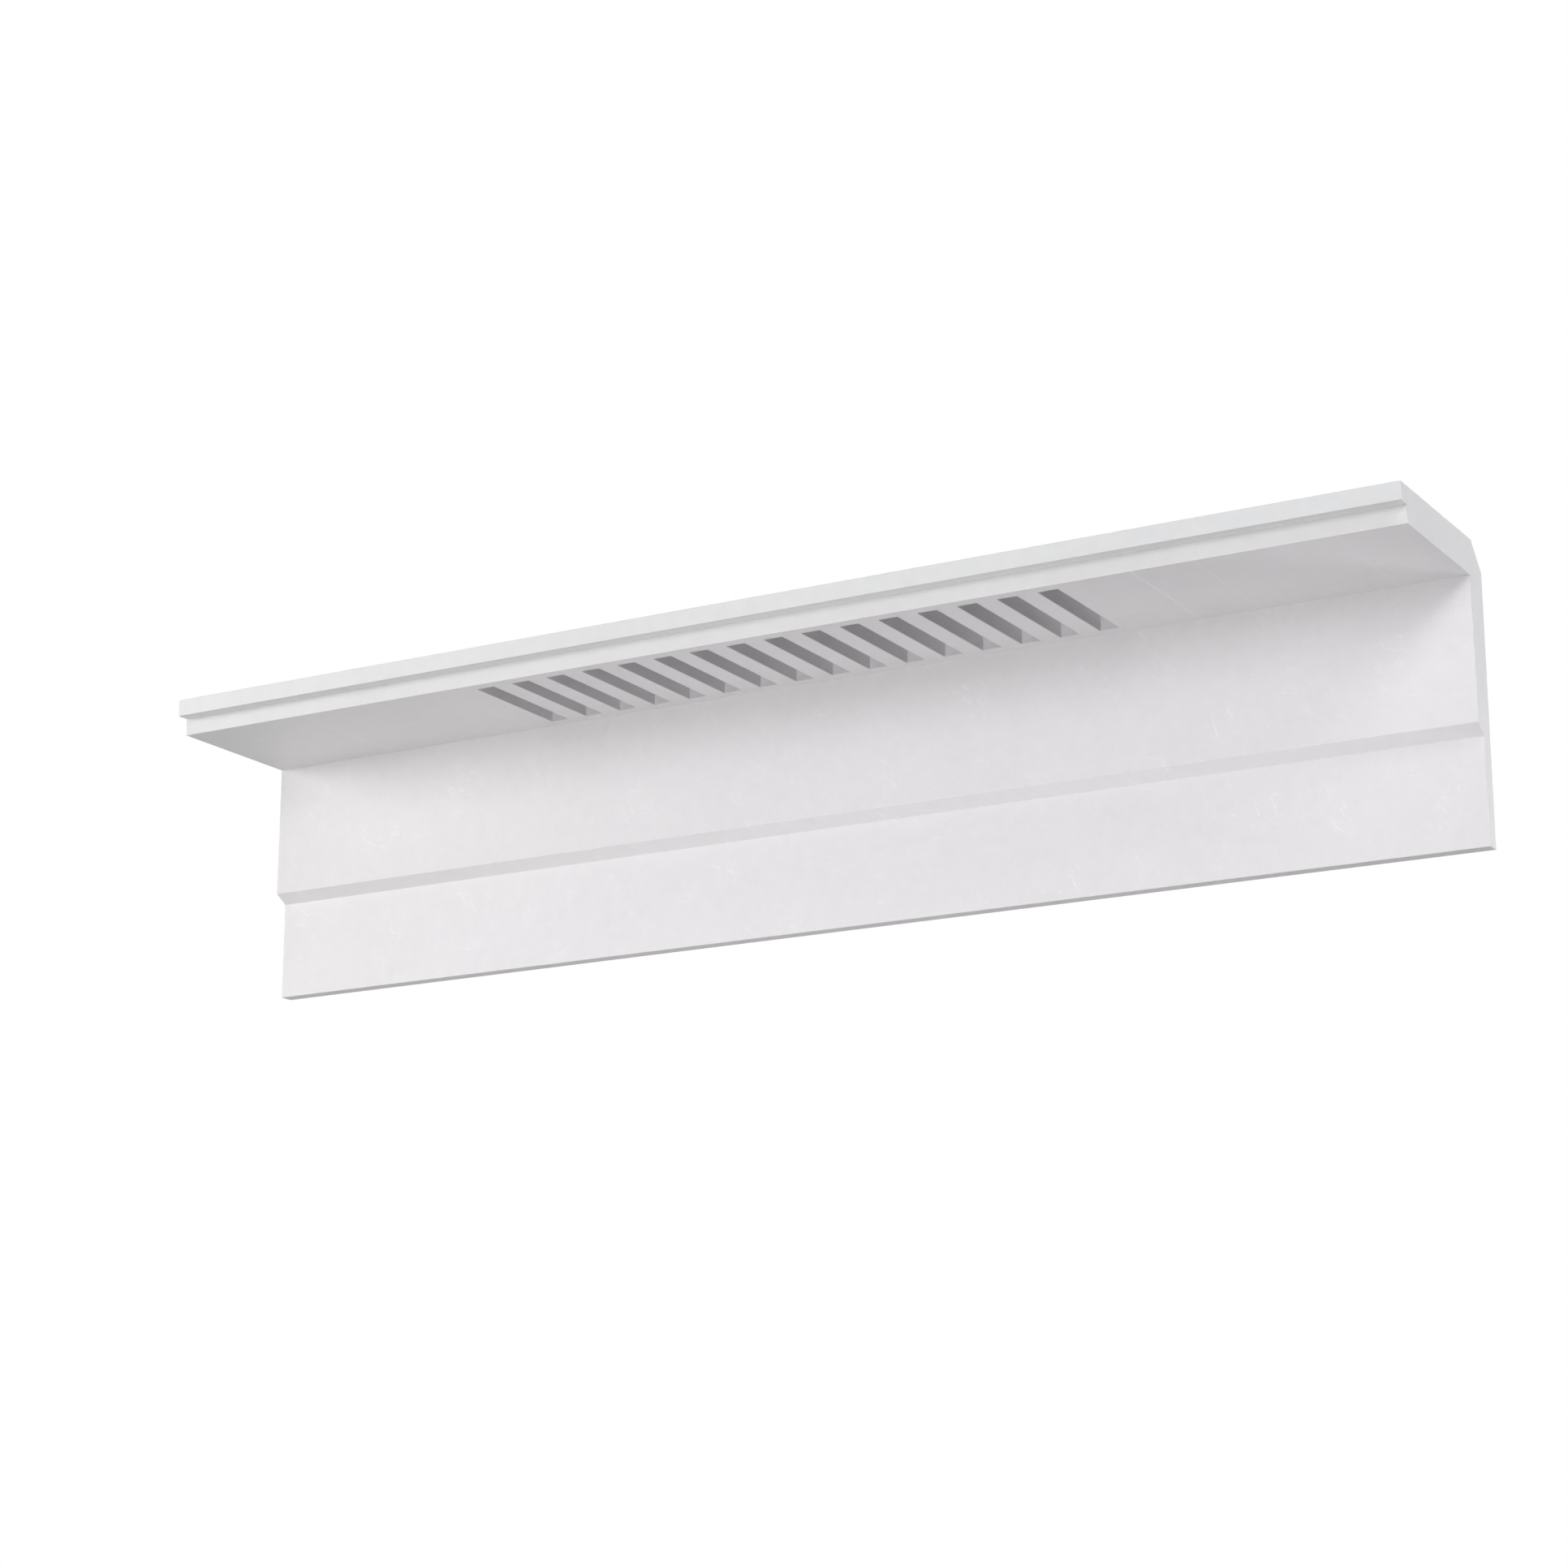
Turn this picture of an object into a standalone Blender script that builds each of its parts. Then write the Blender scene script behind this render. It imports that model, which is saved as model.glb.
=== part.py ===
"""A cast plaster cornice with a row of air slots through its shelf, a metre long.

Metres, +Z up. X runs along the cornice, -Y is the side that shows and +Y is the wall.
The origin is the middle of the flat back face, the face that is fixed to the wall.
The cornice is one casting: a shelf that stands out under the ceiling, and a board that
hangs from it against the wall.
"""

import math

import bmesh
import bpy

LENGTH = 1.000

# The shelf, from its top down: a proud band, a band set back by STEP, and the soffit.
UPPER_BAND = 0.0130
LOWER_BAND = 0.0131
STEP = 0.0102
SOFFIT_DEPTH = 0.1200

# The board, from the soffit down: a thick upper field, a sloping ledge, a thin lower field.
BOARD_DROP = 0.1851
LOWER_FIELD = 0.0757
LEDGE_RISE = 0.0069
LEDGE_DEPTH = 0.0111
LOWER_THICKNESS = 0.0115

# The corner between the top and the back is cut off at 45 degrees, to clear the room's corner.
BACK_CHAMFER = 0.0188

# The slots run from front to back, and their row sits a little to the right of the middle.
SLOT_COUNT = 16
SLOT_WIDTH = 0.0151
SLOT_PITCH = 0.03087
SLOT_ROW_OFFSET = 0.0078
SLOT_FRONT_MARGIN = 0.0099
SLOT_BACK_MARGIN = 0.0092

PLASTER_COLOUR = (0.86, 0.85, 0.845, 1.0)
PLASTER_ROUGHNESS = 0.85

# A cutter reaches this far past each face that it cuts through.
OVERCUT = 0.010
WELD_DISTANCE = 0.00001

SHELF_THICKNESS = UPPER_BAND + LOWER_BAND
UPPER_THICKNESS = LOWER_THICKNESS + LEDGE_DEPTH
BACK_FACE = BOARD_DROP + SHELF_THICKNESS - BACK_CHAMFER

# Heights of the section's levels, from the origin.
BOARD_FOOT = -BACK_FACE / 2
SOFFIT = BOARD_FOOT + BOARD_DROP
SHELF_TOP = SOFFIT + SHELF_THICKNESS

# Distances of the section's upright faces from the wall, as Y.
BOARD_FRONT = -UPPER_THICKNESS
SOFFIT_FRONT = BOARD_FRONT - SOFFIT_DEPTH
SHELF_FRONT = SOFFIT_FRONT - STEP


def clear_scene():
    """Removes whatever the file opened with."""
    for old in list(bpy.data.objects):
        bpy.data.objects.remove(old, do_unlink=True)


def new_collection(name):
    collection = bpy.data.collections.new(name)
    bpy.context.scene.collection.children.link(collection)
    return collection


def plaster():
    material = bpy.data.materials.new("plaster")
    material.use_nodes = True
    shader = material.node_tree.nodes["Principled BSDF"]
    shader.inputs["Base Color"].default_value = PLASTER_COLOUR
    shader.inputs["Roughness"].default_value = PLASTER_ROUGHNESS
    shader.inputs["Metallic"].default_value = 0.0
    material.diffuse_color = PLASTER_COLOUR
    return material


def section_outline():
    """The corners of the cross-section as (y, z), from the board's foot at the wall, forwards and up."""
    ledge_foot = BOARD_FOOT + LOWER_FIELD
    ledge_top = ledge_foot + LEDGE_RISE
    return [
        (0.0, BOARD_FOOT),
        (-LOWER_THICKNESS, BOARD_FOOT),
        (-LOWER_THICKNESS, ledge_foot),
        (BOARD_FRONT, ledge_top),
        (BOARD_FRONT, SOFFIT),
        (SOFFIT_FRONT, SOFFIT),
        (SOFFIT_FRONT, SOFFIT + LOWER_BAND),
        (SHELF_FRONT, SOFFIT + LOWER_BAND),
        (SHELF_FRONT, SHELF_TOP),
        (-BACK_CHAMFER, SHELF_TOP),
        (0.0, SHELF_TOP - BACK_CHAMFER),
    ]


def run_of_section(name, collection):
    """The section drawn out along X: a flat filled curve, extruded both ways from the middle."""
    outline = bpy.data.curves.new(name + "_section", "CURVE")
    outline.dimensions = "2D"
    outline.fill_mode = "BOTH"
    outline.extrude = LENGTH / 2
    corners = section_outline()
    spline = outline.splines.new("POLY")
    spline.points.add(len(corners) - 1)
    for point, (y, z) in zip(spline.points, corners):
        point.co = (y, z, 0.0, 1.0)
    spline.use_cyclic_u = True
    drawn = bpy.data.objects.new(name + "_section", outline)
    # The curve's own x, y and z become the row's Y, Z and X.
    drawn.rotation_euler = (math.pi / 2, 0.0, math.pi / 2)
    collection.objects.link(drawn)
    return as_mesh(drawn, name, collection)


def as_mesh(curve, name, collection):
    """The curve's evaluated shape as a mesh object with its caps welded on. The curve is removed."""
    bpy.context.view_layer.update()
    graph = bpy.context.evaluated_depsgraph_get()
    mesh = bpy.data.meshes.new_from_object(curve.evaluated_get(graph))
    mesh.name = name
    welded = bmesh.new()
    welded.from_mesh(mesh)
    bmesh.ops.remove_doubles(welded, verts=welded.verts, dist=WELD_DISTANCE)
    welded.to_mesh(mesh)
    welded.free()
    made = bpy.data.objects.new(name, mesh)
    made.matrix_world = curve.matrix_world
    collection.objects.link(made)
    bpy.data.objects.remove(curve, do_unlink=True)
    return made


def slot_cutters(collection):
    """The row of blocks that cut the slots: one block, repeated at the slots' pitch."""
    front = SOFFIT_FRONT + SLOT_FRONT_MARGIN
    back = BOARD_FRONT - SLOT_BACK_MARGIN
    first = SLOT_ROW_OFFSET - SLOT_PITCH * (SLOT_COUNT - 1) / 2
    middle = (first, (front + back) / 2, (SOFFIT + SHELF_TOP) / 2)
    bpy.ops.mesh.primitive_cube_add(size=1.0, location=middle)
    block = bpy.context.object
    block.name = "slot_cutters"
    block.scale = (SLOT_WIDTH, back - front, SHELF_THICKNESS + 2 * OVERCUT)
    bpy.ops.object.transform_apply(location=False, rotation=False, scale=True)
    row = block.modifiers.new("row", "ARRAY")
    row.count = SLOT_COUNT
    row.use_relative_offset = False
    row.use_constant_offset = True
    row.constant_offset_displace = (SLOT_PITCH, 0.0, 0.0)
    for held_by in list(block.users_collection):
        held_by.objects.unlink(block)
    collection.objects.link(block)
    block.hide_render = True
    block.display_type = "WIRE"
    return block


def cut(piece, cutter):
    slots = piece.modifiers.new("slots", "BOOLEAN")
    slots.operation = "DIFFERENCE"
    slots.solver = "EXACT"
    slots.object = cutter


def build():
    clear_scene()
    parts = new_collection("Cornice")
    cutters = new_collection("Cutters")
    cornice = run_of_section("cornice", parts)
    cornice.data.materials.append(plaster())
    cut(cornice, slot_cutters(cutters))


build()
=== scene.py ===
"""The looks of a cast plaster cornice with a row of air slots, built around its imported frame.

Metres, +Z up. X runs along the cornice, -Y is the side that shows and +Y is the wall.
The cornice is one casting, so one piece stands for its one solid: the same section carried
along X and the same slots, with rounded arrises and a plaster finish on each kind of face.
"""

from __future__ import annotations

import logging
import math
from dataclasses import dataclass
from enum import Enum, IntEnum
from typing import Union

import bpy
import numpy as np
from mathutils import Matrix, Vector

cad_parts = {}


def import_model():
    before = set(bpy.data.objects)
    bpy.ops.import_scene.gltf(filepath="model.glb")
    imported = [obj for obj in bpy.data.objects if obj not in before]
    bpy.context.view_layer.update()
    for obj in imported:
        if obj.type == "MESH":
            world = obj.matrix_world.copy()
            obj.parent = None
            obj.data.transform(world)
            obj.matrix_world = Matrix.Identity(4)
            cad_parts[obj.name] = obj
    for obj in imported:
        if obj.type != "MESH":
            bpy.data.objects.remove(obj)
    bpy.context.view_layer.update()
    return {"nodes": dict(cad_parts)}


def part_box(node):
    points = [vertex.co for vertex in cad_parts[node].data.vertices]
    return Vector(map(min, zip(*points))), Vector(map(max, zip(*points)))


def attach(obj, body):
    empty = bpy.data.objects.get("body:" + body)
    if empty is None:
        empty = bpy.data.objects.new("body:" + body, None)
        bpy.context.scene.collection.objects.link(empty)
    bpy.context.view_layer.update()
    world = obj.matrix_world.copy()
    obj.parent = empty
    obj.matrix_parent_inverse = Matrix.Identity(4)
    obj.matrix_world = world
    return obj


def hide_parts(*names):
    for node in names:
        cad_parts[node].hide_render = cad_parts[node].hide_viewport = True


LOG = logging.getLogger("cornice")

NODE = "cornice"
BODY = "root"
RUN_MAP = "run"
QUARTER_TURN = math.pi / 2
WHITE = (1.0, 1.0, 1.0, 1.0)
BLACK = (0.0, 0.0, 0.0, 1.0)

Socket = bpy.types.NodeSocket
Value = Union[float, tuple, Socket]


class Surface(Enum):
    """The kinds of face on the casting, each with its own finish. The value is its material's place."""

    MOULDED = 0
    CUT_END = 1
    STRUCK_BACK = 2
    FRONT_BANDS = 3


class Corner(IntEnum):
    """The corners of the section, in order: forwards and up round the front, then back over the top."""

    FOOT_BACK = 0
    FOOT_FRONT = 1
    LEDGE_FOOT = 2
    LEDGE_TOP = 3
    SOFFIT_BACK = 4
    SLOT_BACK_BELOW = 5
    SLOT_FRONT_BELOW = 6
    SOFFIT_FRONT = 7
    STEP_BACK = 8
    STEP_FRONT = 9
    TOP_FRONT = 10
    SLOT_FRONT_ABOVE = 11
    SLOT_BACK_ABOVE = 12
    TOP_BACK = 13
    CHAMFER_FOOT = 14


INNER_CORNERS = (Corner.LEDGE_FOOT, Corner.SOFFIT_BACK, Corner.STEP_BACK)
SLOT_CORNERS = (
    Corner.SLOT_BACK_BELOW, Corner.SLOT_FRONT_BELOW, Corner.SLOT_FRONT_ABOVE, Corner.SLOT_BACK_ABOVE)


@dataclass
class Faces:
    """Faces of one kind.

    Each row of corners is one face, and places holds a (u, v) pair in metres for each corner,
    which the finishes read where a pattern follows the surface.
    """

    corners: np.ndarray
    places: np.ndarray
    surfaces: np.ndarray


@dataclass
class Casting:
    """The cornice's casting. Its box, from low to high, is the frame's, and the rest are its own sizes."""

    low: Vector
    high: Vector
    upper_band: float = 0.0130
    lower_band: float = 0.0131
    step: float = 0.0102
    lower_field: float = 0.0757
    ledge_rise: float = 0.0069
    ledge_depth: float = 0.0111
    lower_thickness: float = 0.0115
    back_chamfer: float = 0.0188
    slot_count: int = 16
    slot_width: float = 0.0151
    slot_pitch: float = 0.03087
    slot_row_offset: float = 0.0078
    slot_front_margin: float = 0.0099
    slot_back_margin: float = 0.0092
    arris: float = 0.0005
    arris_segments: int = 3

    def section(self) -> np.ndarray:
        """Works out the section: each corner lies one of the casting's sizes from the one before.

        Returns:
            A row of (y, z) for each Corner.
        """
        board_front = -self.lower_thickness - self.ledge_depth
        band_front = self.low.y + self.step
        slot_front = band_front + self.slot_front_margin
        slot_back = board_front - self.slot_back_margin
        ledge_foot = self.low.z + self.lower_field
        step_height = self.high.z - self.upper_band
        soffit = step_height - self.lower_band
        return np.array([
            (self.high.y, self.low.z),
            (-self.lower_thickness, self.low.z),
            (-self.lower_thickness, ledge_foot),
            (board_front, ledge_foot + self.ledge_rise),
            (board_front, soffit),
            (slot_back, soffit),
            (slot_front, soffit),
            (band_front, soffit),
            (band_front, step_height),
            (self.low.y, step_height),
            (self.low.y, self.high.z),
            (slot_front, self.high.z),
            (slot_back, self.high.z),
            (self.high.y - self.back_chamfer, self.high.z),
            (self.high.y, self.high.z - self.back_chamfer),
        ])

    def distances(self) -> np.ndarray:
        """Adds up the section's sides: each corner's distance from the first, round the section.

        Returns:
            A distance for each Corner, and last the whole way round.
        """
        section = self.section()
        sides = np.linalg.norm(np.roll(section, -1, axis=0) - section, axis=1)
        return np.concatenate([[0.0], np.cumsum(sides)])

    def stations(self) -> np.ndarray:
        """Works out the places along X where the section is set: the two ends and each slot's two sides.

        A slot's middle is the row's middle plus its number, counted from the row's middle, times
        the pitch, and its sides are half a width either way.

        Returns:
            The places in order, so that every second gap, from the second on, is a slot.
        """
        number = np.arange(self.slot_count) - (self.slot_count - 1) / 2
        middles = self.slot_row_offset + number * self.slot_pitch
        sides = middles[:, None] + self.slot_width / 2 * np.array([-1, 1])
        return np.concatenate([[self.low.x], sides.ravel(), [self.high.x]])

    def points(self) -> np.ndarray:
        """Sets the section at every station: point (k, i) is (station k, section corner i).

        Returns:
            The points as rows of (x, y, z), with all of one station's corners together.
        """
        section, stations = self.section(), self.stations()
        along = np.broadcast_to(stations[:, None, None], (len(stations), len(section), 1))
        across = np.broadcast_to(section, (len(stations), *section.shape))
        return np.concatenate([along, across], axis=2).reshape(-1, 3)

    def run_faces(self) -> Faces:
        """Makes the long faces: a quad for each side of the section in each gap between stations.

        Its corners are (k, i), (k + 1, i), (k + 1, i + 1) and (k, i + 1). Over a slot the soffit's
        middle strip and the top's are left open. A place is (x, distance round the section).

        Returns:
            The quads. A side's finish goes by the corner that the side starts from.
        """
        section, stations = self.section(), self.stations()
        count = len(section)
        side, gap = np.meshgrid(np.arange(count), np.arange(len(stations) - 1), indexing="ij")
        slotted = (gap % 2 == 1) & np.isin(side, (Corner.SLOT_BACK_BELOW, Corner.SLOT_FRONT_ABOVE))
        side, gap = side[~slotted], gap[~slotted]
        near = np.stack([gap, gap + 1, gap + 1, gap], axis=1)
        turn = np.stack([side, side, side + 1, side + 1], axis=1)
        places = np.stack([stations[near], self.distances()[turn]], axis=2)
        surfaces = np.full(len(side), Surface.MOULDED.value)
        surfaces[side >= Corner.SOFFIT_FRONT] = Surface.FRONT_BANDS.value
        surfaces[side >= Corner.TOP_FRONT] = Surface.STRUCK_BACK.value
        return Faces(near * count + turn % count, places, surfaces)

    def in_every_slot(self, walls: list[tuple]) -> np.ndarray:
        """Repeats the first slot's walls in every slot: each slot's points lie two stations further on."""
        onward = 2 * len(self.section()) * np.arange(self.slot_count)
        return (np.array(walls)[:, None] + onward[:, None]).reshape(-1, 4)

    def slot_faces(self) -> Faces:
        """Makes the four walls of each slot, which join the openings in the soffit and in the top.

        The first slot's left side is the second station, and its right side is the third. On the
        two long walls a place is (z, y), so that streaks run from front to back, and on the two
        short ones it is (x, z).

        Returns:
            The long walls, then the short ones.
        """
        points, count = self.points(), len(self.section())
        left, right = count, 2 * count
        below_back, below_front, above_front, above_back = SLOT_CORNERS
        long_walls = self.in_every_slot([
            (left + above_back, left + above_front, left + below_front, left + below_back),
            (right + below_back, right + below_front, right + above_front, right + above_back),
        ])
        short_walls = self.in_every_slot([
            (left + below_back, right + below_back, right + above_back, left + above_back),
            (left + below_front, left + above_front, right + above_front, right + below_front),
        ])
        corners = np.concatenate([long_walls, short_walls])
        places = np.concatenate([points[long_walls][..., [2, 1]], points[short_walls][..., [0, 2]]])
        return Faces(corners, places, np.full(len(corners), Surface.MOULDED.value))

    def end_faces(self) -> Faces:
        """Makes the two cut ends, each one face with the section's own outline. A place is (y, z).

        Returns:
            The left end and the right.
        """
        section = self.section()
        count = len(section)
        left = np.arange(count)
        right = left[::-1] + (len(self.stations()) - 1) * count
        places = np.stack([section, section[::-1]])
        return Faces(np.stack([left, right]), places, np.full(2, Surface.CUT_END.value))

    def build(self) -> bpy.types.Object:
        """Makes the casting's piece, at the origin, with its outer arrises rounded.

        Returns:
            The mesh object, with no materials yet.
        """
        kinds = [self.run_faces(), self.slot_faces(), self.end_faces()]
        rows = [row for faces in kinds for row in faces.corners.tolist()]
        mesh = bpy.data.meshes.new("cornice_casting")
        mesh.from_pydata(self.points().tolist(), [], rows)
        places = np.concatenate([faces.places.reshape(-1, 2) for faces in kinds])
        layer = mesh.uv_layers.new(name=RUN_MAP)
        layer.data.foreach_set("uv", places.astype(np.float32).ravel())
        surfaces = np.concatenate([faces.surfaces for faces in kinds])
        mesh.polygons.foreach_set("material_index", surfaces.astype(np.int32))
        mesh.shade_smooth()
        mesh.validate()
        self.mark_arrises(mesh)
        piece = bpy.data.objects.new("cornice_casting", mesh)
        bpy.context.scene.collection.objects.link(piece)
        self.round_arrises(piece)
        return piece

    def mark_arrises(self, mesh: bpy.types.Mesh) -> None:
        """Gives a weight of 1 to each edge to be rounded, and keeps the section's inner corners sharp.

        An edge joins point (k, i) to point (l, j). Where i is j it runs along the casting, and is
        rounded at the section's outer corners and at a slot's mouth. Where k is l it goes round the
        section, and is rounded on the two ends and round the slots.

        Args:
            mesh: the casting's mesh.
        """
        count, last = len(self.section()), len(self.stations()) - 1
        ends = np.empty(2 * len(mesh.edges), dtype=np.int32)
        mesh.edges.foreach_get("vertices", ends)
        station, corner = np.divmod(np.sort(ends.reshape(-1, 2), axis=1), count)
        at_slot = np.isin(corner, SLOT_CORNERS)
        mouth = at_slot[:, 0] & (station[:, 0] % 2 == 1)
        inner = np.isin(corner[:, 0], INNER_CORNERS)
        outer = ~at_slot[:, 0] & ~inner
        run = corner[:, 0] == corner[:, 1]
        on_end = np.isin(station[:, 0], (0, last))
        around = (station[:, 0] == station[:, 1]) & (on_end | at_slot.all(axis=1))
        weights = mesh.attributes.new("bevel_weight_edge", "FLOAT", "EDGE")
        weights.data.foreach_set("value", (run & (mouth | outer) | around).astype(np.float32))
        mesh.edges.foreach_set("use_edge_sharp", run & inner)

    def round_arrises(self, piece: bpy.types.Object) -> None:
        """Rounds the marked edges by the same small radius, and keeps the casting's flats flat.

        Args:
            piece: the casting's mesh object.
        """
        rounding = piece.modifiers.new("arrises", "BEVEL")
        rounding.width = self.arris
        rounding.segments = self.arris_segments
        rounding.limit_method = "WEIGHT"
        rounding.harden_normals = True

    def dress(self, piece: bpy.types.Object, effects: PlasterEffects) -> None:
        """Gives the piece a finish for each Surface, in their order.

        Args:
            piece: the casting's mesh object.
            effects: the plaster's shared effects.
        """
        distances, heights = self.distances(), self.section()[:, 1]
        soffit = (distances[Corner.SOFFIT_BACK], distances[Corner.SOFFIT_FRONT])
        band = (distances[Corner.SOFFIT_FRONT], distances[Corner.STEP_BACK])
        board = (heights[Corner.FOOT_FRONT], heights[Corner.SOFFIT_BACK])
        finishes = {
            Surface.MOULDED: MouldedFinish("moulded_plaster", soffit=soffit, band=band),
            Surface.FRONT_BANDS: MouldedFinish(
                "moulded_plaster_front", colour=(0.774, 0.771, 0.773), soffit=soffit, band=band, hairs=()),
            Surface.CUT_END: SawnFinish("sawn_plaster_end", board=board),
            Surface.STRUCK_BACK: StruckFinish("struck_plaster_back", roughness=0.65),
        }
        for surface in Surface:
            piece.data.materials.append(finishes[surface].material(effects))


class Sketch:
    """A node tree that is drawn with one short call for each node."""

    def __init__(self, tree: bpy.types.NodeTree) -> None:
        """Starts on a tree.

        Args:
            tree: a material's, a group's or the world's nodes.
        """
        self.tree = tree

    def node(self, kind: str, **settings: object) -> bpy.types.Node:
        """Adds a node.

        Args:
            kind: Blender's name for the type of node.
            settings: properties to set on it.

        Returns:
            The node.
        """
        made = self.tree.nodes.new(kind)
        for name, value in settings.items():
            setattr(made, name, value)
        return made

    def feed(self, socket: Socket, value: Value) -> None:
        """Links an output to a socket, or sets the socket's own value.

        Args:
            socket: the input.
            value: an output, a number, or a tuple for a vector or a colour.
        """
        if isinstance(value, Socket):
            self.tree.links.new(value, socket)
        else:
            socket.default_value = value

    def math(self, operation: str, *values: Value, clamp: bool = False) -> Socket:
        """Adds a Math node.

        Args:
            operation: Blender's name for it.
            values: its inputs, in order.
            clamp: whether the result is kept from 0 to 1.

        Returns:
            Its result.
        """
        made = self.node("ShaderNodeMath", operation=operation, use_clamp=clamp)
        for socket, value in zip(made.inputs, values):
            self.feed(socket, value)
        return made.outputs["Value"]

    def add(self, below: Value, mask: Value, amount: Value) -> Socket:
        """Adds a node for below plus amount times mask."""
        return self.math("MULTIPLY_ADD", mask, amount, below)

    def blend(self, share: Value, low: float, high: float, clamp: bool = False) -> Socket:
        """Adds a node that goes from low to high as share goes from 0 to 1."""
        return self.math("MULTIPLY_ADD", share, high - low, low, clamp=clamp)

    def between(self, value: Value, low: Value, high: Value) -> Socket:
        """Adds nodes that give 1 where value is between low and high and 0 elsewhere."""
        above = self.math("GREATER_THAN", value, low)
        return self.math("MULTIPLY", above, self.math("LESS_THAN", value, high))

    def fade(self, value: Value, full: Value, none: Value) -> Socket:
        """Adds a smooth step down.

        Args:
            value: what the step goes by.
            full: the value at which it gives 1.
            none: the value at which it gives 0.

        Returns:
            A number from 0 to 1.
        """
        made = self.node("ShaderNodeMapRange", interpolation_type="SMOOTHSTEP")
        ranges = {"Value": value, "From Min": full, "From Max": none, "To Min": 1.0, "To Max": 0.0}
        for name, given in ranges.items():
            self.feed(made.inputs[name], given)
        return made.outputs["Result"]

    def vector(self, operation: str, *values: Value) -> Socket:
        """Adds a Vector Math node that gives a vector.

        Args:
            operation: Blender's name for it.
            values: its inputs, in order. For SCALE the second is the factor.

        Returns:
            The vector.
        """
        made = self.node("ShaderNodeVectorMath", operation=operation)
        sockets = [made.inputs[0], made.inputs["Scale"]] if operation == "SCALE" else made.inputs
        for socket, value in zip(sockets, values):
            self.feed(socket, value)
        return made.outputs["Vector"]

    def turn(self, vector: Value, angle: Value) -> Socket:
        """Adds a Vector Rotate node about Z.

        Args:
            vector: what is turned.
            angle: how far, in radians.

        Returns:
            The turned vector.
        """
        made = self.node("ShaderNodeVectorRotate", rotation_type="Z_AXIS")
        self.feed(made.inputs["Vector"], vector)
        self.feed(made.inputs["Angle"], angle)
        return made.outputs["Vector"]

    def split(self, vector: Socket) -> list[Socket]:
        """Adds a Separate XYZ node.

        Args:
            vector: what is taken apart.

        Returns:
            Its three numbers.
        """
        made = self.node("ShaderNodeSeparateXYZ")
        self.feed(made.inputs[0], vector)
        return list(made.outputs)

    def join(self, x: Value, y: Value) -> Socket:
        """Adds a Combine XYZ node for a flat vector.

        Args:
            x: its first number.
            y: its second number.

        Returns:
            The vector.
        """
        made = self.node("ShaderNodeCombineXYZ")
        self.feed(made.inputs["X"], x)
        self.feed(made.inputs["Y"], y)
        return made.outputs["Vector"]

    def group(self, group: bpy.types.NodeTree, **values: Value) -> Socket:
        """Places a node group.

        Args:
            group: the group's tree.
            values: its inputs by name.

        Returns:
            Its first output.
        """
        made = self.node("ShaderNodeGroup", node_tree=group)
        for name, value in values.items():
            self.feed(made.inputs[name], value)
        return made.outputs[0]


def new_group(name: str, output: str, **numbers: float) -> tuple[Sketch, dict[str, Socket], Socket]:
    """Starts a shader node group that goes by the place and puts out one number.

    Args:
        name: the group's name.
        output: the output's name.
        numbers: the name and first value of each input but the first, which is Place.

    Returns:
        The sketch, the group's inputs by name as sockets to link from, and the socket to end at.
    """
    tree = bpy.data.node_groups.new(name, "ShaderNodeTree")
    tree.interface.new_socket("Place", in_out="INPUT", socket_type="NodeSocketVector")
    for given, value in numbers.items():
        made = tree.interface.new_socket(given, in_out="INPUT", socket_type="NodeSocketFloat")
        made.default_value = value
    tree.interface.new_socket(output, in_out="OUTPUT", socket_type="NodeSocketFloat")
    sketch = Sketch(tree)
    start, end = sketch.node("NodeGroupInput"), sketch.node("NodeGroupOutput")
    return sketch, {given: start.outputs[given] for given in ("Place", *numbers)}, end.inputs[output]


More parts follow.
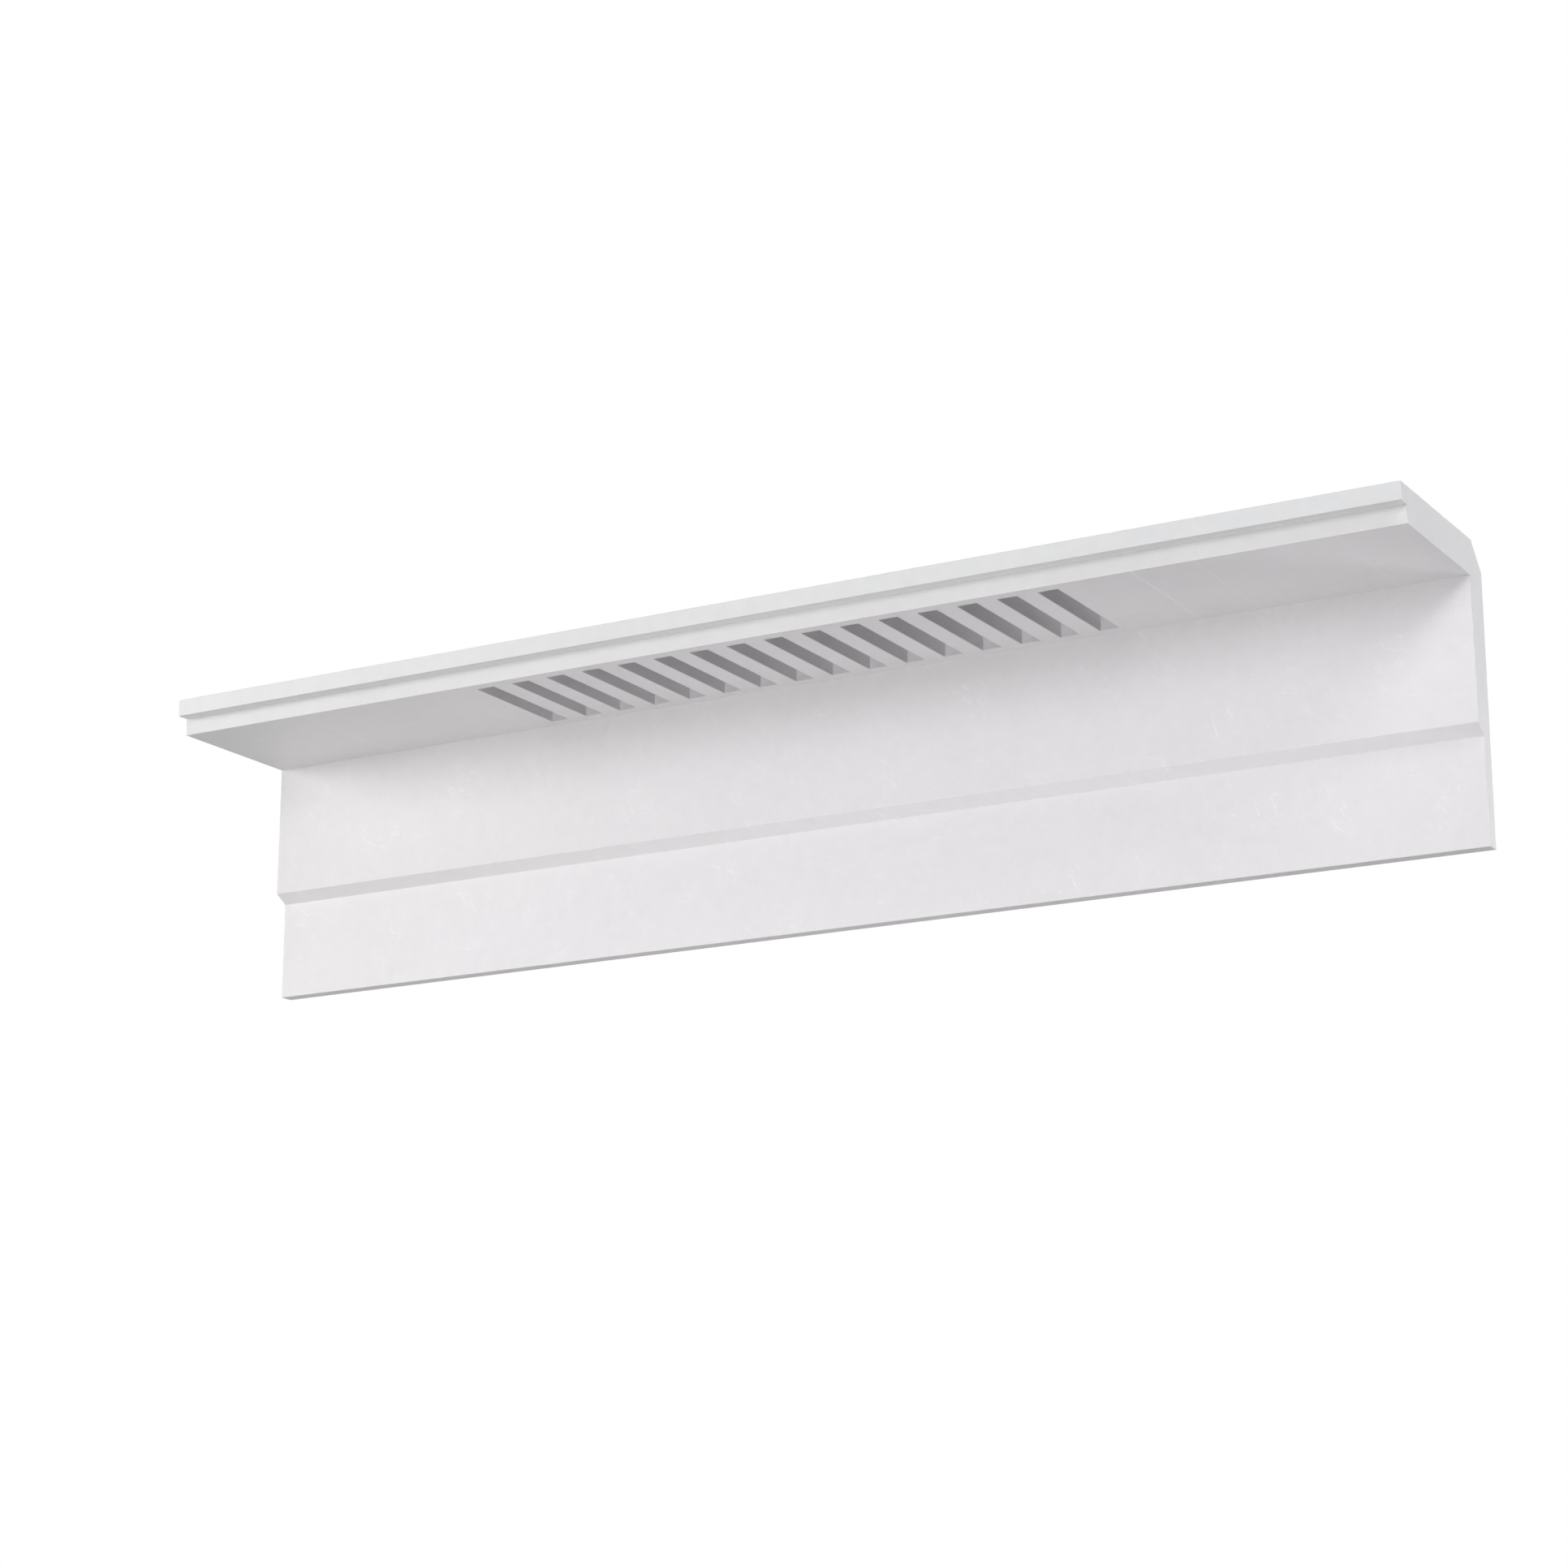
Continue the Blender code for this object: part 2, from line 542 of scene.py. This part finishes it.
class PlasterEffects:
    """The effects that the plaster's finishes share, each a node group that is built once.

    A hair line or a spot is at least a share of its full size, and its core is the share of its
    own size that isn't faded.
    """

    NOISE_ROUGHNESS = 0.55
    NOISE_MIDDLE = 0.5
    NOISE_SPREAD = 4.0
    SWAY_SIZE = 0.15
    HAIR_LEAST = 0.4
    HAIR_CORE = 0.3
    SPOT_LEAST = 0.3
    SPOT_CORE = 0.4
    LINE_WANDER_SIZE = 0.03
    LINE_NOISE_GAP = 100.0
    LINE_USUAL_STRENGTH = 0.65

    def __init__(self) -> None:
        """Builds the groups."""
        self.clouds = self._clouds()
        self.streaks = self._streaks()
        self.hairs = self._hairs()
        self.spots = self._spots()
        self.line = self._line()

    def _noise(self, sketch: Sketch, vector: Value, detail: Value) -> Socket:
        """Adds layered noise: (noise - its middle) * its spread, which is mostly from -1 to 1.

        Args:
            sketch: the group's nodes.
            vector: places in turns of the noise.
            detail: how many finer layers it has.

        Returns:
            The noise.
        """
        noise = sketch.node("ShaderNodeTexNoise", noise_dimensions="3D")
        inputs = {"Vector": vector, "Detail": detail, "Scale": 1.0, "Roughness": self.NOISE_ROUGHNESS}
        for name, value in inputs.items():
            sketch.feed(noise.inputs[name], value)
        off_middle = sketch.math("SUBTRACT", noise.outputs["Fac"], self.NOISE_MIDDLE)
        return sketch.math("MULTIPLY", off_middle, self.NOISE_SPREAD)

    @staticmethod
    def _cells(sketch: Sketch, place: Socket, cell: Socket) -> tuple[Socket, Socket]:
        """Scatters one centre in each cell of a plane.

        Args:
            sketch: the group's nodes.
            place: flat places in metres.
            cell: the cells' size in metres.

        Returns:
            The way from the nearest centre in metres, and that centre's three random numbers.
        """
        cells = sketch.node("ShaderNodeTexVoronoi", voronoi_dimensions="2D", feature="F1")
        scaled = sketch.vector("SCALE", place, sketch.math("DIVIDE", 1.0, cell))
        sketch.feed(cells.inputs["Vector"], scaled)
        cells.inputs["Scale"].default_value = 1.0
        away = sketch.vector("SUBTRACT", scaled, cells.outputs["Position"])
        return sketch.vector("SCALE", away, cell), cells.outputs["Color"]

    def _clouds(self) -> bpy.types.NodeTree:
        """Soft mottling: noise on the places, in turns of the size.

        Returns:
            The group.
        """
        sketch, given, end = new_group("plaster_clouds", "Tone", Size=0.05, Detail=3.0)
        place = sketch.vector("SCALE", given["Place"], sketch.math("DIVIDE", 1.0, given["Size"]))
        sketch.feed(end, self._noise(sketch, place, given["Detail"]))
        return sketch.tree

    def _streaks(self) -> bpy.types.NodeTree:
        """Streaks along v, or turned from it: noise on the flat places, finer across than along.

        Sway moves them sideways by slow noise, so that a long streak bends like a trowel's sweep.

        Returns:
            The group.
        """
        sketch, given, end = new_group(
            "drawn_streaks", "Tone", Turn=0.0, Across=0.001, Along=0.03, Sway=0.0)
        across, along, _ = sketch.split(sketch.turn(given["Place"], given["Turn"]))
        slow = self._noise(sketch, sketch.vector("SCALE", given["Place"], 1 / self.SWAY_SIZE), detail=1.0)
        across = sketch.add(across, slow, given["Sway"])
        across = sketch.math("DIVIDE", across, given["Across"])
        along = sketch.math("DIVIDE", along, given["Along"])
        sketch.feed(end, self._noise(sketch, sketch.join(across, along), detail=2.0))
        return sketch.tree

    def _hairs(self) -> bpy.types.NodeTree:
        """Short curled hair lines, one in some of the cells.

        A line lies along its own x, which leans from v towards u by Lean and by a random angle up to
        Spread half turns either way. A point is on it where x is within half its length and y is
        within half its width of curl * x * x.

        Returns:
            The group.
        """
        sketch, given, end = new_group(
            "hair_lines", "Mask", Cell=0.02, Length=0.008, Width=0.0006, Share=0.4, Spread=0.5,
            Lean=0.0, Curl=60.0)
        away, chance = self._cells(sketch, given["Place"], given["Cell"])
        turn, bend, pick = sketch.split(chance)
        spread = sketch.math("MULTIPLY", sketch.blend(turn, -1.0, 1.0), given["Spread"])
        lean = sketch.add(given["Lean"], spread, math.pi)
        x, y, _ = sketch.split(sketch.turn(away, sketch.math("ADD", lean, QUARTER_TURN)))
        curl = sketch.math("MULTIPLY", sketch.blend(bend, -0.5, 0.5), given["Curl"])
        curve = sketch.math("MULTIPLY", curl, sketch.math("MULTIPLY", x, x))
        off_curve = sketch.math("ABSOLUTE", sketch.math("SUBTRACT", y, curve))
        on_line = sketch.fade(off_curve, 0.0, sketch.math("MULTIPLY", given["Width"], 0.5))
        reach = sketch.blend(bend, self.HAIR_LEAST / 2, 0.5)
        half_length = sketch.math("MULTIPLY", given["Length"], reach)
        core = sketch.math("MULTIPLY", half_length, self.HAIR_CORE)
        within = sketch.fade(sketch.math("ABSOLUTE", x), core, half_length)
        line = sketch.math("MULTIPLY", on_line, within)
        sketch.feed(end, sketch.math("MULTIPLY", line, sketch.math("LESS_THAN", pick, given["Share"])))
        return sketch.tree

    def _spots(self) -> bpy.types.NodeTree:
        """Small round spots, one in some of the cells: the points within a random radius of its centre.

        Returns:
            The group.
        """
        sketch, given, end = new_group("spots", "Mask", Cell=0.01, Radius=0.0006, Share=0.3)
        away, chance = self._cells(sketch, given["Place"], given["Cell"])
        size, _, pick = sketch.split(chance)
        distance = sketch.node("ShaderNodeVectorMath", operation="LENGTH")
        sketch.feed(distance.inputs[0], away)
        radius = sketch.math("MULTIPLY", given["Radius"], sketch.blend(size, self.SPOT_LEAST, 1.0))
        core = sketch.math("MULTIPLY", radius, self.SPOT_CORE)
        spot = sketch.fade(distance.outputs["Value"], core, radius)
        sketch.feed(end, sketch.math("MULTIPLY", spot, sketch.math("LESS_THAN", pick, given["Share"])))
        return sketch.tree

    def _line(self) -> bpy.types.NodeTree:
        """One thin line along v, from one v to another, which wanders a little and comes and goes.

        Each line reads the noise a long way from the others, so that no two wander alike.

        Returns:
            The group.
        """
        sketch, given, end = new_group(
            "drawn_line", "Mask", At=0.0, From=0.0, To=1.0, Width=0.001, Wander=0.001)
        across, along, _ = sketch.split(given["Place"])
        own = sketch.math("MULTIPLY", given["At"], self.LINE_NOISE_GAP)
        way = sketch.math("DIVIDE", along, self.LINE_WANDER_SIZE)
        noise = self._noise(sketch, sketch.join(own, way), detail=2.0)
        middle = sketch.add(given["At"], noise, given["Wander"])
        off_line = sketch.math("ABSOLUTE", sketch.math("SUBTRACT", across, middle))
        on_line = sketch.fade(off_line, 0.0, given["Width"])
        line = sketch.math("MULTIPLY", on_line, sketch.between(along, given["From"], given["To"]))
        strength = sketch.blend(noise, self.LINE_USUAL_STRENGTH, 1.0, clamp=True)
        sketch.feed(end, sketch.math("MULTIPLY", line, strength))
        return sketch.tree


@dataclass(frozen=True)
class Canvas:
    """What a finish draws its marks with: the nodes, the effects and the flat places."""

    sketch: Sketch
    effects: PlasterEffects
    flat: Socket


@dataclass(frozen=True)
class Streaks:
    """A layer of streaks: their size, their tone and height, and how far they turn and sway."""

    across: float
    along: float
    tone: float
    height: float = 0.0
    turn: float = 0.0
    sway: float = 0.0

    def mask(self, canvas: Canvas) -> Socket:
        """Draws where the streaks are, mostly from -1 to 1."""
        return canvas.sketch.group(
            canvas.effects.streaks, Place=canvas.flat, Turn=self.turn, Across=self.across,
            Along=self.along, Sway=self.sway)


@dataclass(frozen=True)
class Spots:
    """A layer of spots: their cells, their full size, how many cells have one, their tone and height."""

    cell: float
    radius: float
    share: float
    tone: float
    height: float = 0.0

    def mask(self, canvas: Canvas) -> Socket:
        """Draws where the spots are, from 0 to 1."""
        return canvas.sketch.group(
            canvas.effects.spots, Place=canvas.flat, Cell=self.cell, Radius=self.radius, Share=self.share)


@dataclass(frozen=True)
class HairLines:
    """A layer of hair lines: their cells, their size, how many cells have one, their lie and tone."""

    cell: float
    length: float
    width: float
    share: float
    spread: float
    lean: float
    tone: float

    def mask(self, canvas: Canvas) -> Socket:
        """Draws where the lines are, from 0 to 1."""
        return canvas.sketch.group(
            canvas.effects.hairs, Place=canvas.flat, Cell=self.cell, Length=self.length, Width=self.width,
            Share=self.share, Spread=self.spread, Lean=self.lean)


@dataclass(frozen=True)
class DrawnLine:
    """A thin light line that the drag of a blade left across the soffit: its x, and how plain it is."""

    place: float
    strength: float


@dataclass(frozen=True)
class PlasterFinish:
    """What every finish of the plaster shares: its colour, and clouds, mottle and grain through it.

    A tone is the share by which the plaster returns more or less light than its plain colour.
    """

    name: str
    colour: tuple = (0.777, 0.758, 0.771)
    cloud_size: float = 0.060
    cloud_tone: float = 0.012
    mottle_size: float = 0.011
    mottle_tone: float = 0.019
    roughness: float = 0.5
    roughness_range: float = 0.03
    grain_size: float = 0.0012
    grain_height: float = 0.000003
    ripple_size: float = 0.030
    ripple_height: float = 0.00003

    def marks(self, canvas: Canvas) -> tuple[Value, Value]:
        """Draws the marks that the making left. This plain finish has none.

        Args:
            canvas: what to draw with.

        Returns:
            The marks' tone, and their height in metres.
        """
        return 0.0, 0.0

    def material(self, effects: PlasterEffects) -> bpy.types.Material:
        """Builds the finish.

        Args:
            effects: the plaster's shared effects.

        Returns:
            The material.
        """
        material = bpy.data.materials.new(self.name)
        material.use_nodes = True
        sketch = Sketch(material.node_tree)
        shader = material.node_tree.nodes["Principled BSDF"]
        solid = sketch.node("ShaderNodeTexCoord").outputs["Object"]
        flat = sketch.node("ShaderNodeUVMap", uv_map=RUN_MAP).outputs["UV"]
        tone, height = self.marks(Canvas(sketch, effects, flat))
        clouds = sketch.group(effects.clouds, Place=solid, Size=self.cloud_size)
        mottle = sketch.group(effects.clouds, Place=solid, Size=self.mottle_size)
        tone = sketch.add(tone, clouds, self.cloud_tone)
        tone = sketch.add(tone, mottle, self.mottle_tone)
        colour = sketch.vector("SCALE", self.colour, sketch.math("ADD", tone, 1.0))
        sketch.feed(shader.inputs["Base Color"], colour)
        sketch.feed(shader.inputs["Roughness"], sketch.add(self.roughness, mottle, self.roughness_range))
        grain = sketch.group(effects.clouds, Place=solid, Size=self.grain_size, Detail=2.0)
        ripple = sketch.group(effects.clouds, Place=solid, Size=self.ripple_size, Detail=1.0)
        height = sketch.add(height, grain, self.grain_height)
        height = sketch.add(height, ripple, self.ripple_height)
        bump = sketch.node("ShaderNodeBump")
        bump.inputs["Distance"].default_value = 1.0
        sketch.feed(bump.inputs["Height"], height)
        sketch.feed(shader.inputs["Normal"], bump.outputs["Normal"])
        return material


@dataclass(frozen=True)
class MouldedFinish(PlasterFinish):
    """The faces that came off the mould: smooth, with faint streaks, hair lines and light specks.

    The hair lines gather in patches, which are also a little lighter, and fade on the soffit,
    where a few thin lines run from front to back instead. Shade is painted on the soffit by the
    wall, in the corner, and on the lower band, under the step. Both are given as distances round
    the section, from and to.
    """

    soffit: tuple = (0.0, 1.0)
    band: tuple = (0.0, 1.0)
    soffit_share: float = 0.25
    lines: tuple = (
        DrawnLine(-0.389, 0.6), DrawnLine(-0.385, 0.4), DrawnLine(-0.255, 0.5), DrawnLine(0.305, 1.0),
        DrawnLine(0.350, 0.6), DrawnLine(0.410, 0.4), DrawnLine(0.450, 0.5))
    line_width: float = 0.0013
    line_wander: float = 0.0008
    line_tone: float = 0.125
    streaks: Streaks = Streaks(across=0.0012, along=0.014, tone=0.005)
    gather_size: float = 0.038
    gather_range: tuple = (0.75, 0.05)
    patch_tone: float = 0.012
    stray_share: float = 0.20
    hairs: tuple = (
        HairLines(cell=0.0125, length=0.0210, width=0.0016, share=0.65, spread=0.20, lean=-0.85, tone=0.095),
        HairLines(cell=0.0070, length=0.0085, width=0.0013, share=0.55, spread=0.50, lean=0.00, tone=0.080),
    )
    specks: Spots = Spots(cell=0.011, radius=0.0011, share=0.28, tone=0.065)
    blots: Spots = Spots(cell=0.030, radius=0.0045, share=0.30, tone=-0.014)
    # painted shade on the soffit, darkest in the corner by the wall
    corner_shade_depth: float = 0.060
    corner_shade_tone: float = -0.045
    # painted shade on the lower band, under the step's overhang
    band_shade_tone: float = -0.033

    def marks(self, canvas: Canvas) -> tuple[Value, Value]:
        """Draws the patches and their hair lines, the specks and blots, the streaks, the soffit's lines and
        the painted shade.

        Args:
            canvas: what to draw with.

        Returns:
            The marks' tone, and their height in metres.
        """
        sketch, effects, flat = canvas.sketch, canvas.effects, canvas.flat
        _, round_section, _ = sketch.split(flat)
        on_soffit = sketch.between(round_section, *self.soffit)
        clouds = sketch.group(effects.clouds, Place=flat, Size=self.gather_size)
        gathered = sketch.fade(clouds, *self.gather_range)
        hairs = 0.0
        for layer in self.hairs:
            hairs = sketch.add(hairs, layer.mask(canvas), layer.tone)
        tone = sketch.math("MULTIPLY", hairs, sketch.blend(gathered, self.stray_share, 1.0))
        tone = sketch.add(tone, gathered, self.patch_tone)
        for layer in (self.specks, self.blots):
            tone = sketch.add(tone, layer.mask(canvas), layer.tone)
        tone = sketch.math("MULTIPLY", tone, sketch.blend(on_soffit, 1.0, self.soffit_share))
        tone = sketch.add(tone, self.streaks.mask(canvas), self.streaks.tone)
        for line in self.lines:
            mask = sketch.group(
                effects.line, Place=flat, At=line.place, From=self.soffit[0], To=self.soffit[1],
                Width=self.line_width, Wander=self.line_wander)
            tone = sketch.add(tone, mask, self.line_tone * line.strength)
        # painted shade: the soffit darkens towards the wall, where the corner is in shade
        wall = self.soffit[0]
        shade_by_wall = sketch.fade(round_section, wall, wall + self.corner_shade_depth)
        tone = sketch.add(tone, sketch.math("MULTIPLY", shade_by_wall, on_soffit), self.corner_shade_tone)
        # painted shade: the lower band is darker, under the step's overhang
        return sketch.add(tone, sketch.between(round_section, *self.band), self.band_shade_tone), 0.0


@dataclass(frozen=True, kw_only=True)
class WorkedFinish(PlasterFinish):
    """A face that was worked by hand: the blade drew streaks over it and opened air holes."""

    blade: Streaks
    holes: Spots

    def marks(self, canvas: Canvas) -> tuple[Value, Value]:
        """Draws the blade's streaks and the air holes.

        Args:
            canvas: what to draw with.

        Returns:
            The marks' tone, and their height in metres.
        """
        sketch = canvas.sketch
        streaks, holes = self.blade.mask(canvas), self.holes.mask(canvas)
        tone = sketch.add(sketch.math("MULTIPLY", streaks, self.blade.tone), holes, self.holes.tone)
        height = sketch.add(sketch.math("MULTIPLY", streaks, self.blade.height), holes, self.holes.height)
        return tone, height


@dataclass(frozen=True)
class SawnFinish(WorkedFinish):
    """The cut ends: fine slanting saw lines, the air holes that the cut opened, and painted light low down.

    The board's end runs from its foot to the soffit, as heights, and the painted light fades out upwards.
    """

    blade: Streaks = Streaks(across=0.0009, along=0.060, tone=0.008, height=0.000004, turn=math.radians(45))
    holes: Spots = Spots(cell=0.007, radius=0.0005, share=0.25, tone=-0.12, height=-0.0001)
    board: tuple = (0.0, 1.0)
    # painted light on the end, lighter low down
    low_painted_light_tone: float = 0.11

    def marks(self, canvas: Canvas) -> tuple[Value, Value]:
        """Draws the saw lines, the air holes and the painted light low down.

        Args:
            canvas: what to draw with.

        Returns:
            The marks' tone, and their height in metres.
        """
        sketch = canvas.sketch
        tone, height = super().marks(canvas)
        _, place_height, _ = sketch.split(canvas.flat)
        # painted light: the end is lighter towards the board's foot, fading out up to the soffit
        return sketch.add(tone, sketch.fade(place_height, *self.board), self.low_painted_light_tone), height


@dataclass(frozen=True)
class StruckFinish(WorkedFinish):
    """The back and the top, struck off level by hand: long trowel sweeps along the run, and air holes."""

    blade: Streaks = Streaks(
        across=0.006, along=0.180, tone=0.012, height=0.00006, turn=QUARTER_TURN, sway=0.012)
    holes: Spots = Spots(cell=0.012, radius=0.0012, share=0.35, tone=-0.15, height=-0.0004)


@dataclass(frozen=True)
class SoftLamp:
    """A round soft lamp that faces the cornice.

    Its azimuth is 0 in front of the cornice and grows to the right, in degrees, as its elevation
    is. Its strength is what a face turned to it receives, in watts to the square metre, which is
    its power / (pi * its distance squared).
    """

    name: str
    azimuth: float
    elevation: float
    distance: float
    width: float
    strength: float
    colour: tuple

    def stand(self, target: Vector) -> None:
        """Stands the lamp at its distance from a point and turns it to face the point.

        Args:
            target: the point.
        """
        turn, rise = math.radians(self.azimuth), math.radians(self.elevation)
        level = math.cos(rise)
        towards = Vector((math.sin(turn) * level, -math.cos(turn) * level, math.sin(rise)))
        data = bpy.data.lights.new(self.name, "AREA")
        data.shape = "DISK"
        data.size = self.width
        data.energy = self.strength * math.pi * self.distance ** 2
        data.color = self.colour
        lamp = bpy.data.objects.new(self.name, data)
        lamp.location = target + towards * self.distance
        lamp.rotation_euler = towards.to_track_quat("Z", "Y").to_euler()
        lamp.visible_camera = False
        bpy.context.scene.collection.objects.link(lamp)


@dataclass(frozen=True)
class Studio:
    """The camera at the photograph's angle, a plain white floor far below, and soft lamps all round.

    The first thirteen lamps weren't set by hand: which of them are here, their strengths and their
    tints come from a least-squares fit to the photograph's tones, rounded, and some
    were changed after it. The last three were set for the back and the left end.
    """

    # Each lamp's name, azimuth, elevation, distance, width, strength and colour.
    lamps: tuple = (
        SoftLamp("left_key", -60, 8, 3.0, 1.1, 0.88, (1.01, 1.02, 0.97)),
        SoftLamp("left_level", -45, 0, 3.0, 1.1, 0.36, (1.01, 1.02, 0.97)),
        SoftLamp("front_low", 0, -20, 5.0, 1.8, 0.88, (1.00, 0.99, 1.01)),
        SoftLamp("front_level", 0, 4, 5.0, 1.4, 0.29, (0.99, 0.99, 1.02)),
        SoftLamp("front_middle", 12, 12, 5.0, 1.4, 0.27, (0.98, 0.98, 1.04)),
        SoftLamp("front_high", 12, 22, 5.0, 1.4, 0.21, (1.00, 1.00, 1.00)),
        SoftLamp("front_right", 28, 16, 5.0, 1.4, 0.24, (0.98, 0.98, 1.04)),
        SoftLamp("right_high", 50, 32, 5.0, 2.2, 0.47, (0.98, 1.00, 1.02)),
        SoftLamp("right_top", 60, 40, 4.0, 2.0, 0.47, (0.94, 1.05, 1.01)),
        SoftLamp("right_side", 90, 8, 5.0, 1.6, 0.89, (0.99, 1.00, 1.01)),
        SoftLamp("near_bounce", 20, -75, 1.4, 1.2, 1.49, (1.00, 1.00, 1.00)),
        SoftLamp("back_right", 130, -10, 4.0, 1.6, 1.34, (1.01, 1.00, 1.00)),
        SoftLamp("back_left", -120, -30, 3.0, 2.4, 0.40, (0.97, 1.04, 0.99)),
        SoftLamp("left_side", -100, 0, 5.0, 1.6, 0.90, (1.00, 1.00, 1.00)),
        SoftLamp("back_level", 180, 2, 5.0, 1.8, 1.20, (1.00, 1.00, 1.00)),
        SoftLamp("back_high", 180, 60, 5.0, 1.0, 1.20, (1.00, 1.00, 1.00)),
    )
    target: tuple = (0.0, -0.0764, -0.0018)
    distance: float = 2.5066
    yaw: float = math.radians(30)
    pitch: float = math.radians(15)
    lens: float = 80.0
    sensor: float = 36.0
    farthest: float = 1000.0
    floor_height: float = -3.2
    floor_side: float = 600.0

    def camera(self) -> None:
        """Stands the camera below and to the right of the cornice, and turns it to look up at it.

        A camera with no turn looks straight down, so a quarter turn and the pitch raise it.
        """
        data = bpy.data.cameras.new("photograph")
        data.lens = self.lens
        data.sensor_width = self.sensor
        data.clip_end = self.farthest
        camera = bpy.data.objects.new("photograph", data)
        level = math.cos(self.pitch)
        ahead = Vector((-math.sin(self.yaw) * level, math.cos(self.yaw) * level, math.sin(self.pitch)))
        camera.location = Vector(self.target) - ahead * self.distance
        camera.rotation_euler = (QUARTER_TURN + self.pitch, 0.0, self.yaw)
        bpy.context.scene.collection.objects.link(camera)
        bpy.context.scene.camera = camera

    def floor(self) -> None:
        """Lays a plain white floor, which shows the same tone all over and gives the cornice no light."""
        half = self.floor_side / 2
        corners = ((-half, -half), (half, -half), (half, half), (-half, half))
        mesh = bpy.data.meshes.new("floor")
        mesh.from_pydata([(x, y, self.floor_height) for x, y in corners], [], [(0, 1, 2, 3)])
        floor = bpy.data.objects.new("floor", mesh)
        bpy.context.scene.collection.objects.link(floor)
        material = bpy.data.materials.new("floor")
        material.use_nodes = True
        shader = material.node_tree.nodes["Principled BSDF"]
        shader.inputs["Base Color"].default_value = BLACK
        shader.inputs["Specular IOR Level"].default_value = 0.0
        shader.inputs["Emission Color"].default_value = WHITE
        shader.inputs["Emission Strength"].default_value = 1.0
        mesh.materials.append(material)
        floor.visible_diffuse = False
        floor.visible_glossy = False
        floor.visible_shadow = False

    def light(self) -> None:
        """Stands the lamps, and shows the camera plain white behind the cornice, which gives no light."""
        for lamp in self.lamps:
            lamp.stand(Vector(self.target))
        world = bpy.data.worlds.new("studio")
        world.use_nodes = True
        sketch = Sketch(world.node_tree)
        background = world.node_tree.nodes["Background"]
        background.inputs["Color"].default_value = WHITE
        seen = sketch.node("ShaderNodeLightPath").outputs["Is Camera Ray"]
        sketch.feed(background.inputs["Strength"], seen)
        bpy.context.scene.world = world
        bpy.context.scene.view_settings.view_transform = "Standard"


def main() -> None:
    """Loads the frame, builds the casting, dresses it, and sets the studio round it."""
    logging.basicConfig(level=logging.INFO, format="%(name)s: %(message)s")
    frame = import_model()
    casting = Casting(*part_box(NODE))
    piece = casting.build()
    casting.dress(piece, PlasterEffects())
    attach(piece, BODY)
    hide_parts(NODE)
    LOG.info("%s: %d faces before its arrises are rounded", piece.name, len(piece.data.polygons))
    studio = Studio()
    studio.camera()
    studio.floor()
    studio.light()
    LOG.info("%d node in the frame, stood for by %s", len(frame["nodes"]), piece.name)


if __name__ == "__main__":
    main()
